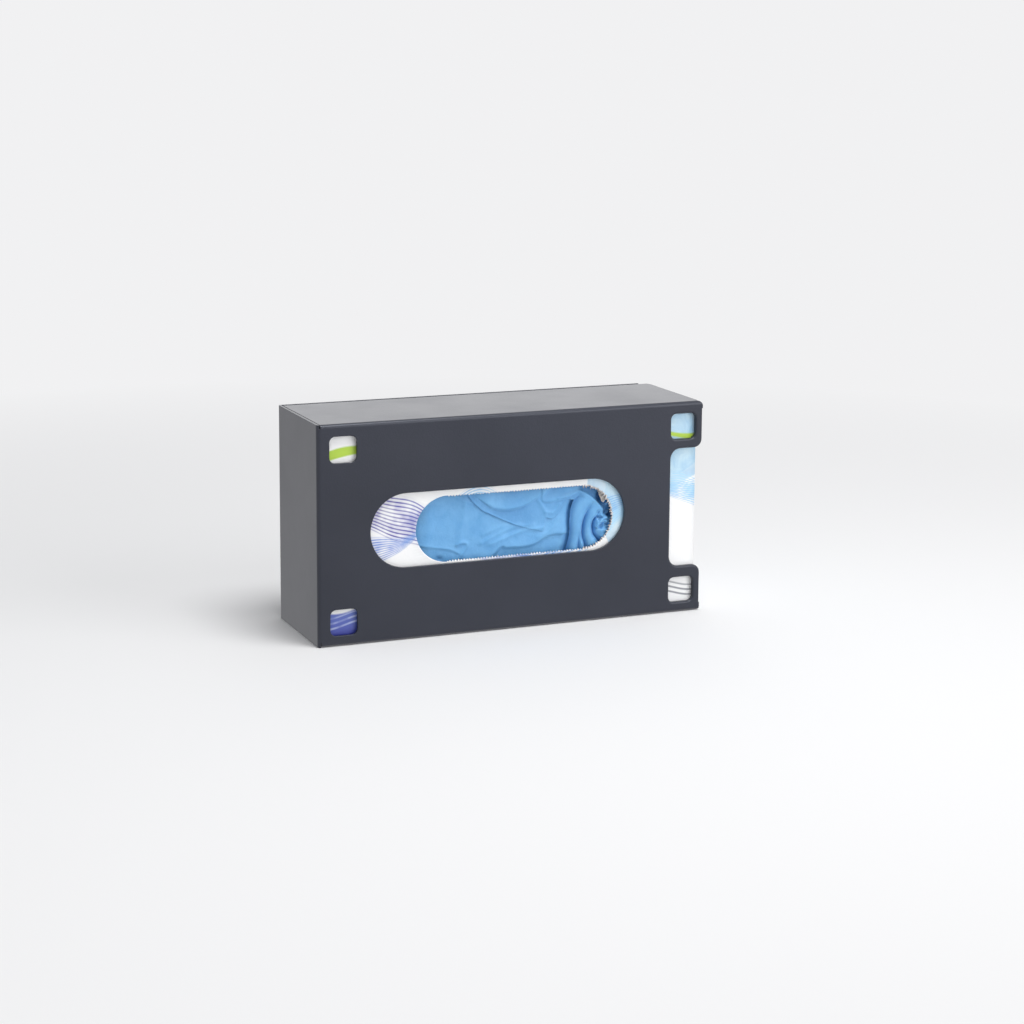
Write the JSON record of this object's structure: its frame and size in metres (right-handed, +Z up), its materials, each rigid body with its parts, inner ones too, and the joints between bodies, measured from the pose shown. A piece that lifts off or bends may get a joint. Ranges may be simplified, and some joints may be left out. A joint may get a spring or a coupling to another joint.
{
  "type": "glove dispenser",
  "caption": "Folded sheet-steel box that hangs on a square-hole panel and holds a carton of disposable gloves, drawn out through a long slot in its front.",
  "frame": {"origin": "centre of the back face, which bears on the panel", "axes": "+X along the front, to the right as seen from the front; +Y out of the back face, into the panel; +Z up"},
  "size_m": [0.245, 0.0812, 0.13],
  "materials": {
    "powder_coat": "semi-gloss powder coat",
    "carton_card": "coated and printed",
    "nitrile": "matte film"
  },
  "bodies": {
    "root": {"housing": "powder_coat", "glove_carton": "carton_card", "glove_stack": "nitrile", "next_glove": "nitrile", "top_glove": "nitrile"}
  },
  "joints": []
}
